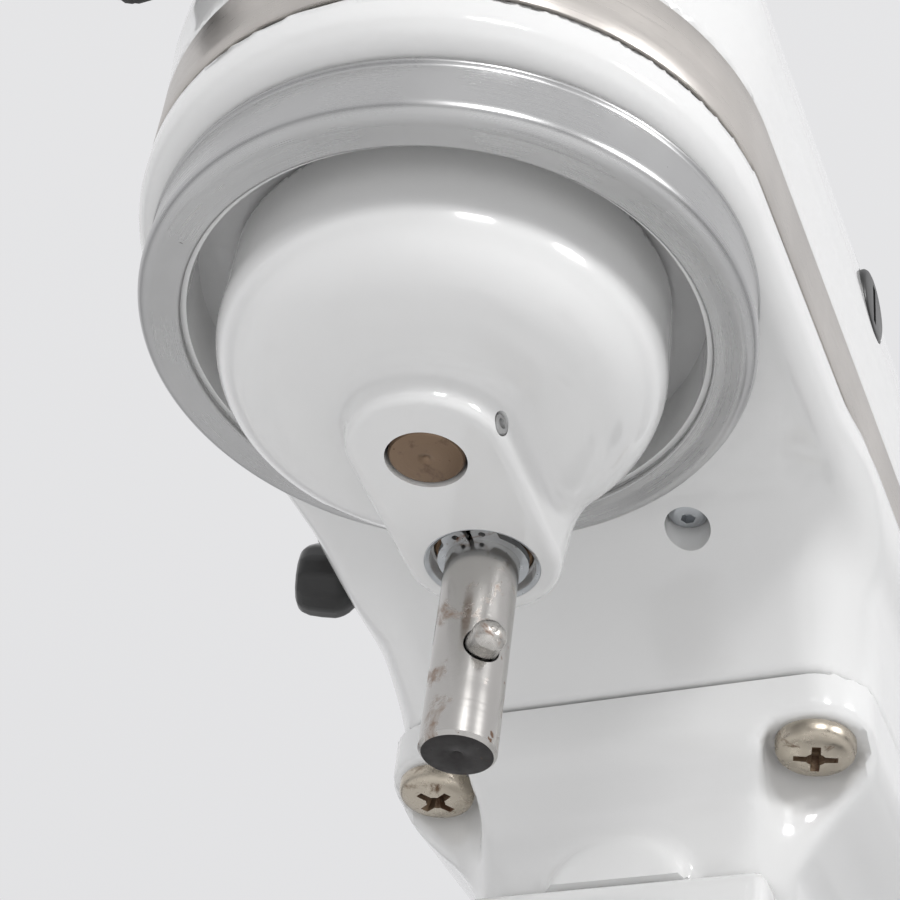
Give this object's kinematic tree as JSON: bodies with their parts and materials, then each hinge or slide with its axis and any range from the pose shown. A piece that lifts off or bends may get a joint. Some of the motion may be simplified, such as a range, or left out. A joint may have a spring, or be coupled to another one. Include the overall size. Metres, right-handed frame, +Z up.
{
  "type": "planetary stand mixer",
  "caption": "Bowl-lift kitchen stand mixer without bowl or beater: enamelled head, planetary drive with beater shaft, column with lifting yoke, horseshoe base.",
  "frame": {"origin": "centre of the object's footprint, on the surface its feet stand on", "axes": "+Z up, -Y toward the front where the beater shaft hangs, +X to the right of a person facing the front"},
  "size_m": [0.254, 0.34, 0.4106],
  "materials": {
    "head_housing": "gloss white enamel",
    "rear_cover": "gloss white enamel",
    "rear_cover_screw": "nickel plated, tarnished",
    "trim_band": "satin, warm silver",
    "head_lower": "gloss white enamel",
    "underside_screw_right": "zinc plated",
    "underside_screw_left": "zinc plated",
    "blanking_plug": "black moulded plastic",
    "cord_gland": "black rubber",
    "hub_cover_pin": "machined",
    "hub_bush": "sintered bronze and brass",
    "drip_ring": "satin, with fine scuffs",
    "ring_gear": "machined",
    "centre_bush": "sintered bronze and brass",
    "gear_bracket": "as cast",
    "front_bearing": "machined",
    "rear_bearing": "machined",
    "rear_bracket": "as cast",
    "stator": "steel laminations",
    "brush_right": "carbon",
    "brush_left": "carbon",
    "brush_cap_right": "black moulded plastic",
    "brush_cap_left": "black moulded plastic",
    "column": "gloss white enamel",
    "column_screw_front_right": "nickel plated, tarnished",
    "column_screw_front_left": "nickel plated, tarnished",
    "column_screw_rear_right": "nickel plated, tarnished",
    "column_screw_rear_left": "nickel plated, tarnished",
    "base": "gloss white enamel",
    "foot_front_right": "black rubber",
    "foot_front_left": "black rubber",
    "foot_rear_right": "black rubber",
    "foot_rear_left": "black rubber",
    "planetary": "gloss white enamel",
    "planetary_roll_pin": "machined",
    "centre_shaft": "browned steel, turned end",
    "centre_gear": "machined",
    "beater_bush": "sintered bronze and brass",
    "beater_shaft": "machined",
    "beater_pin": "machined",
    "beater_circlip": "zinc plated",
    "planet_pinion": "machined",
    "worm_gear": "sintered bronze and brass",
    "worm_pinion": "machined",
    "armature_shaft": "machined",
    "armature_core": "steel laminations",
    "commutator": "copper",
    "governor": "sintered bronze and brass",
    "hub_pinion": "machined",
    "hub_cover": "polished",
    "hub_knob": "black moulded plastic",
    "speed_lever": "machined",
    "speed_knob": "black moulded plastic",
    "lift_shaft": "machined",
    "lift_handle": "satin",
    "lift_knob": "black moulded plastic",
    "yoke": "gloss white enamel",
    "bowl_pin_right": "machined",
    "bowl_pin_left": "machined",
    "bowl_clip": "machined"
  },
  "bodies": {
    "frame": {"head_housing": "head_housing", "rear_cover": "rear_cover", "rear_cover_screw": "rear_cover_screw", "trim_band": "trim_band", "head_lower": "head_lower", "underside_screw_right": "underside_screw_right", "underside_screw_left": "underside_screw_left", "blanking_plug": "blanking_plug", "cord_gland": "cord_gland", "hub_cover_pin": "hub_cover_pin", "hub_bush": "hub_bush", "drip_ring": "drip_ring", "ring_gear": "ring_gear", "centre_bush": "centre_bush", "gear_bracket": "gear_bracket", "front_bearing": "front_bearing", "rear_bearing": "rear_bearing", "rear_bracket": "rear_bracket", "stator": "stator", "brush_right": "brush_right", "brush_left": "brush_left", "brush_cap_right": "brush_cap_right", "brush_cap_left": "brush_cap_left", "column": "column", "column_screw_front_right": "column_screw_front_right", "column_screw_front_left": "column_screw_front_left", "column_screw_rear_right": "column_screw_rear_right", "column_screw_rear_left": "column_screw_rear_left", "base": "base", "foot_front_right": "foot_front_right", "foot_front_left": "foot_front_left", "foot_rear_right": "foot_rear_right", "foot_rear_left": "foot_rear_left"},
    "planetary": {"planetary": "planetary", "planetary_roll_pin": "planetary_roll_pin", "centre_shaft": "centre_shaft", "centre_gear": "centre_gear", "beater_bush": "beater_bush"},
    "beater": {"beater_shaft": "beater_shaft", "beater_pin": "beater_pin", "beater_circlip": "beater_circlip", "planet_pinion": "planet_pinion"},
    "worm_gear": {"worm_gear": "worm_gear", "worm_pinion": "worm_pinion"},
    "armature": {"armature_shaft": "armature_shaft", "armature_core": "armature_core", "commutator": "commutator", "governor": "governor"},
    "hub_pinion": {"hub_pinion": "hub_pinion"},
    "hub_cover": {"hub_cover": "hub_cover"},
    "hub_knob": {"hub_knob": "hub_knob"},
    "speed_lever": {"speed_lever": "speed_lever", "speed_knob": "speed_knob"},
    "lift_handle": {"lift_shaft": "lift_shaft", "lift_handle": "lift_handle", "lift_knob": "lift_knob"},
    "yoke": {"yoke": "yoke", "bowl_pin_right": "bowl_pin_right", "bowl_pin_left": "bowl_pin_left", "bowl_clip": "bowl_clip"}
  },
  "joints": [
    {"name": "planetary_spin", "type": "hinge", "parent": "frame", "child": "planetary", "pos_m": [0, -0.064, 0.283], "axis": [0, 0, 1], "continuous": true},
    {"name": "beater_spin", "type": "hinge", "parent": "planetary", "child": "beater", "pos_m": [-0.00146, -0.03604, 0.2222], "axis": [0, 0, 1], "continuous": true},
    {"name": "worm_gear_spin", "type": "hinge", "parent": "frame", "child": "worm_gear", "pos_m": [-0.02275, -0.03049, 0.333], "axis": [0, 0, 1], "continuous": true},
    {"name": "armature_spin", "type": "hinge", "parent": "frame", "child": "armature", "pos_m": [0, 0.036, 0.349], "axis": [0, 1, 0], "continuous": true},
    {"name": "hub_drive_spin", "type": "hinge", "parent": "frame", "child": "hub_pinion", "pos_m": [0, -0.104, 0.347], "axis": [0, 1, 0], "continuous": true},
    {"name": "hub_cover_flip", "type": "hinge", "parent": "frame", "child": "hub_cover", "pos_m": [0, -0.1309, 0.374], "axis": [-1, 0, 0], "range_deg": [0, 100]},
    {"name": "hub_knob_turn", "type": "hinge", "parent": "frame", "child": "hub_knob", "pos_m": [-0.04, -0.116, 0.347], "axis": [1, 0, 0], "continuous": true},
    {"name": "speed_lever_swing", "type": "hinge", "parent": "frame", "child": "speed_lever", "pos_m": [-0.0275, 0.0325, 0.306], "axis": [0, 0, -1], "range_deg": [0, 44]},
    {"name": "lift_handle_swing", "type": "hinge", "parent": "frame", "child": "lift_handle", "pos_m": [0, 0.06, 0.123], "axis": [-1, 0, 0], "range_deg": [0, 80]},
    {"name": "yoke_slide", "type": "slide", "parent": "frame", "child": "yoke", "axis": [0, 0, -1], "range_m": [0, 0.03858]}
  ],
  "couplings": [
    {"joint": "beater_spin", "follows": "planetary_spin", "ratio": -3},
    {"joint": "worm_gear_spin", "follows": "planetary_spin", "ratio": -3.5},
    {"joint": "armature_spin", "follows": "planetary_spin", "ratio": 36.75},
    {"joint": "hub_drive_spin", "follows": "planetary_spin", "ratio": -2},
    {"joint": "yoke_slide", "follows": "lift_handle_swing", "m_per_rad": 0.027622}
  ]
}
